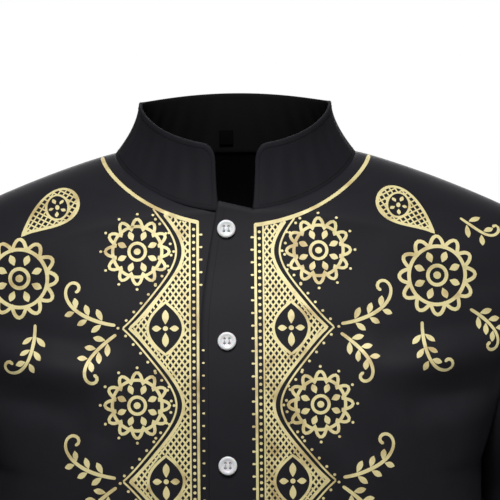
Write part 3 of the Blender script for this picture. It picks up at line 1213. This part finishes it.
def button_threads():
    """Two bars of two strands each, up out of one hole, over the face and down into the one above it."""
    share = np.linspace(0, 1, 13)
    points, faces = [], []
    for across in (-HOLE_SPREAD - 0.25, -HOLE_SPREAD + 0.25, HOLE_SPREAD - 0.25, HOLE_SPREAD + 0.25):
        rise = np.sin(np.pi * share) ** 0.35
        path = np.stack([np.full_like(share, across), HOLE_SPREAD * 1.12 * (2 * share - 1), mix(0.5, 1.86, rise)], -1)
        strand, quads = tube(path, THREAD_RADIUS)
        faces.append(quads + sum(map(len, points)))
        points.append(strand)
    return np.concatenate(points), np.concatenate(faces)


def sewn_button(name, node, outward):
    """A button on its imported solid's place, its back where the solid's is, and turned so that its holes lie square
    to the upright. The solid's plane is the one across its thinnest direction."""
    corners = np.array([corner.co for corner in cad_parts[node].data.vertices]) / MM
    middle = (corners.min(0) + corners.max(0)) / 2
    thin = np.linalg.svd(corners - corners.mean(0))[2][2]
    thin = thin * np.sign(thin @ outward(middle))
    up = unit(np.array([0, 0, 1.0]) - thin[2] * thin)
    turn = np.stack([np.cross(up, thin), up, thin])
    base = middle + thin * ((corners - middle) @ thin).min()
    plate, triangles = button_body()
    threads, quads = button_threads()
    halves = np.concatenate([quads[:, [0, 1, 2]], quads[:, [0, 2, 3]]]) + len(plate)
    points = (np.concatenate([plate, threads]) @ turn + base) * MM
    button = mesh_piece(name, points, np.concatenate([triangles, halves]))
    button.data.materials.append(RESIN)
    button.data.materials.append(WHITE_THREAD)
    which = np.concatenate([np.zeros(len(triangles), np.int32), np.ones(len(halves), np.int32)])
    button.data.polygons.foreach_set("material_index", which)
    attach(button, "root")
    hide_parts(node)


RESIN, resin_nodes, resin_links, resin_shader = new_material("white resin")
resin_shader.inputs["Base Color"].default_value = (0.96, 0.965, 0.98, 1)
resin_shader.inputs["Subsurface Weight"].default_value = 0.15
resin_shader.inputs["Subsurface Scale"].default_value = 0.0008
cloud = resin_nodes.new("ShaderNodeTexNoise")
cloud.inputs["Scale"].default_value = 420
gloss = resin_nodes.new("ShaderNodeMapRange")
gloss.inputs["To Min"].default_value = 0.2
gloss.inputs["To Max"].default_value = 0.32
spot_on = resin_nodes.new("ShaderNodeTexCoord")
resin_links.new(spot_on.outputs["Object"], cloud.inputs["Vector"])
resin_links.new(cloud.outputs["Fac"], gloss.inputs["Value"])
resin_links.new(gloss.outputs["Result"], resin_shader.inputs["Roughness"])
WHITE_THREAD = plain("white thread", (0.62, 0.63, 0.66), 0.8)

for count in range(1, 8):
    sewn_button(f"shirt_button_{count}", f"button_{count}", lambda middle: np.array([0.0, -1.0, 0.0]))
for side, word in ((1, "left"), (-1, "right")):
    wrist = cuff_points(side).reshape(-1, 3).mean(0) / MM
    sewn_button(f"cuff_{word}_sewn_button", f"cuff_button_{word}", lambda middle, wrist=wrist: middle - wrist)

# Size tab
# A small folded tab of black woven tape, tacked at both sides inside the back of the collar. It carries nothing.
TAB_WIDTH, TAB_HEIGHT, TAB_THICK, TAB_X, TAB_BELOW_RIM = 0.009, 0.010, 0.0006, -0.0067, 0.025
tab_x = TAB_X + TAB_WIDTH * (np.linspace(0, 1, 19) - 0.5)[None, :]
tab_up = np.linspace(0, 1, 15)[:, None]
tab_angle = np.pi - np.arcsin(np.abs(tab_x) / RIM_HALF_WIDTH) + 0 * tab_up
tab_share = 1 - (TAB_BELOW_RIM + TAB_HEIGHT * (1 - tab_up) + 0 * tab_x) / COLLAR_WIDTH_BACK
tab_points, _ = collar_point(tab_angle, tab_share)
tab_points[..., 0] = tab_x + 0 * tab_up
tab_points[..., 1] -= COLLAR_WALL + 0.00064 + 0.00012 * np.sin(np.pi * tab_up) * (1 + 0 * tab_x)
TAPE = plain("black tape", (0.0025, 0.0025, 0.003), 0.75, 0.05)
tape_inward = np.broadcast_to((0.0, -1.0, 0.0), tab_points.shape)
tab = shell("size_tab_tape", tab_points, TAB_THICK, (TAPE, TAPE), flip=True, inward=tape_inward, rounds=3)
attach(tab, "root")
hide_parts("size_tab")

# Floor and light
# A pale floor a little below the hem, one large soft light high in front, a weak one from each side and one from
# behind, and a white surround that adds little light of its own.
FLOOR_Z = -0.80
FLOOR_SIDE = 2.2
FLOOR_FRONT, FLOOR_BACK = -0.7, 2.0

corners = [(-FLOOR_SIDE, FLOOR_FRONT), (FLOOR_SIDE, FLOOR_FRONT), (FLOOR_SIDE, FLOOR_BACK), (-FLOOR_SIDE, FLOOR_BACK)]
floor = mesh_piece("floor", np.array([(x, y, FLOOR_Z) for x, y in corners]), np.array([[0, 1, 2, 3]]), smooth=False)
floor.data.materials.append(plain("pale paper", (0.93, 0.93, 0.93), 0.9))

for name, place, size, power in (
    ("key", (-0.1, -1.45, 1.75), 1.0, 47),
    ("left fill", (1.9, -1.1, 0.4), 1.4, 2.2),
    ("right fill", (-1.9, -1.1, 0.4), 1.4, 1),
    ("back", (0.0, 1.9, 0.7), 1.6, 20),
):
    light_data = bpy.data.lights.new(name, "AREA")
    light_data.shape = "DISK"
    light_data.size = size
    light_data.energy = power
    light = bpy.data.objects.new(name, light_data)
    bpy.context.collection.objects.link(light)
    light.location = place
    light.rotation_euler = (Vector(place) - Vector((0, -0.05, -0.15))).to_track_quat("Z", "Y").to_euler()

world = bpy.data.worlds.new("studio")
bpy.context.scene.world = world
world.use_nodes = True
world_nodes, world_links = world.node_tree.nodes, world.node_tree.links
surround = world_nodes["Background"]
surround.inputs["Color"].default_value = (1, 1, 1, 1)
surround.inputs["Strength"].default_value = 0.04
seen = world_nodes.new("ShaderNodeBackground")
seen.inputs["Color"].default_value = (1, 1, 1, 1)
light_path = world_nodes.new("ShaderNodeLightPath")
either = world_nodes.new("ShaderNodeMixShader")
world_links.new(light_path.outputs["Is Camera Ray"], either.inputs["Fac"])
world_links.new(surround.outputs["Background"], either.inputs[1])
world_links.new(seen.outputs["Background"], either.inputs[2])
world_links.new(either.outputs["Shader"], world_nodes["World Output"].inputs["Surface"])
bpy.context.scene.view_settings.view_transform = "Standard"
